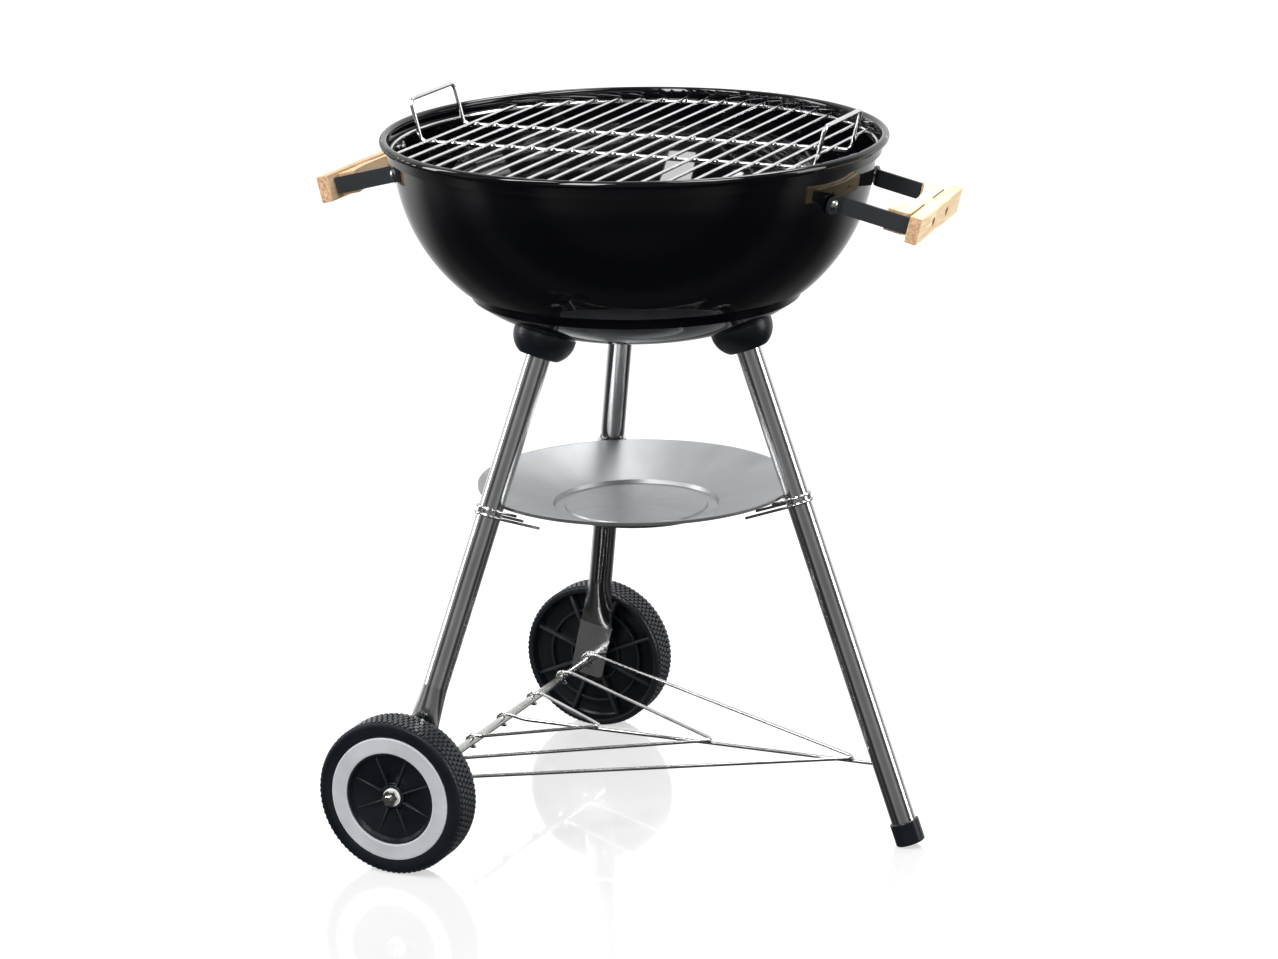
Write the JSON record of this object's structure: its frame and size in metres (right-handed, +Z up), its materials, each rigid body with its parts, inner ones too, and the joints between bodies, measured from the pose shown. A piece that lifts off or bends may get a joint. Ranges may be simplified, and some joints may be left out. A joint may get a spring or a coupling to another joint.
{
  "type": "kettle charcoal grill",
  "caption": "Round open kettle charcoal grill: deep enamelled bowl with wire cooking grid and wooden carry handles on a tubular trolley with wheels, ash plate and wire rack.",
  "frame": {"origin": "on the floor under the bowl's axis", "axes": "+Z up, +X towards the leg with the foot, Y along the wheels' axle; the front wheel is on the -Y side"},
  "size_m": [0.6047, 0.5138, 0.703],
  "materials": {
    "enamel": "gloss black vitreous enamel",
    "damper": "satin rolled sheet",
    "fastener": "bright zinc-plated steel",
    "black_plastic": "satin black moulded plastic",
    "steel_tube": "polished tube",
    "pale_washer": "pale plastic washer",
    "wheel_plastic": "satin black moulded plastic",
    "pale_ring": "pale grey plastic ring",
    "wire": "bright drawn wire",
    "plate": "satin spun sheet",
    "chrome_wire": "bright plated wire",
    "grate_steel": "plain steel wire",
    "strap": "satin black paint",
    "wood": "plain softwood",
    "dark_screw": "darkened countersunk screw"
  },
  "bodies": {
    "stand": {"bowl": "enamel", "damper_rivet": "fastener", "leg_socket_foot": "black_plastic", "leg_socket_front": "black_plastic", "leg_socket_rear": "black_plastic", "leg_plugs": "black_plastic", "socket_washers": "fastener", "socket_screws": "fastener", "leg_foot": "steel_tube", "leg_front": "steel_tube", "leg_rear": "steel_tube", "foot_cap": "black_plastic", "axle": "fastener", "axle_inner_washers": "fastener", "axle_outer_washers": "pale_washer", "axle_nuts": "fastener", "rack_vee_inner": "wire", "rack_vee_middle": "wire", "rack_vee_outer": "wire", "rack_spine": "wire", "ash_plate": "plate", "plate_clip_foot": "wire", "plate_clip_front": "wire", "plate_clip_rear": "wire", "handle_straps_right": "strap", "handle_straps_left": "strap", "handle_board_right": "wood", "handle_board_left": "wood", "handle_block_right": "wood", "handle_block_left": "wood", "grip_screws": "dark_screw", "ear_screws": "fastener", "ear_nuts": "fastener"},
    "wheel_front": {"wheel_front": "wheel_plastic", "wheel_ring_front": "pale_ring"},
    "wheel_rear": {"wheel_rear": "wheel_plastic", "wheel_ring_rear": "pale_ring"},
    "cooking_grid": {"grid_ring": "chrome_wire", "grid_bars": "chrome_wire", "grid_loop": "chrome_wire"},
    "charcoal_grate": {"grate_ring": "grate_steel", "grate_rods": "grate_steel", "grate_bars": "grate_steel"},
    "damper": {"damper_disc": "damper"}
  },
  "joints": [
    {"name": "wheel_front_spin", "type": "hinge", "parent": "stand", "child": "wheel_front", "pos_m": [-0.15, -0.235, 0.075], "axis": [0, 1, 0], "continuous": true},
    {"name": "wheel_rear_spin", "type": "hinge", "parent": "stand", "child": "wheel_rear", "pos_m": [-0.15, 0.235, 0.075], "axis": [0, 1, 0], "continuous": true},
    {"name": "cooking_grid_lift", "type": "slide", "parent": "stand", "child": "cooking_grid", "axis": [0, 0, 1], "range_m": [0, 0.25]},
    {"name": "charcoal_grate_lift", "type": "slide", "parent": "stand", "child": "charcoal_grate", "axis": [0, 0, 1], "range_m": [0, 0.09]},
    {"name": "damper_turn", "type": "hinge", "parent": "stand", "child": "damper", "pos_m": [0, 0, 0.4865], "axis": [0, 0, 1], "range_deg": [0, 60]}
  ]
}
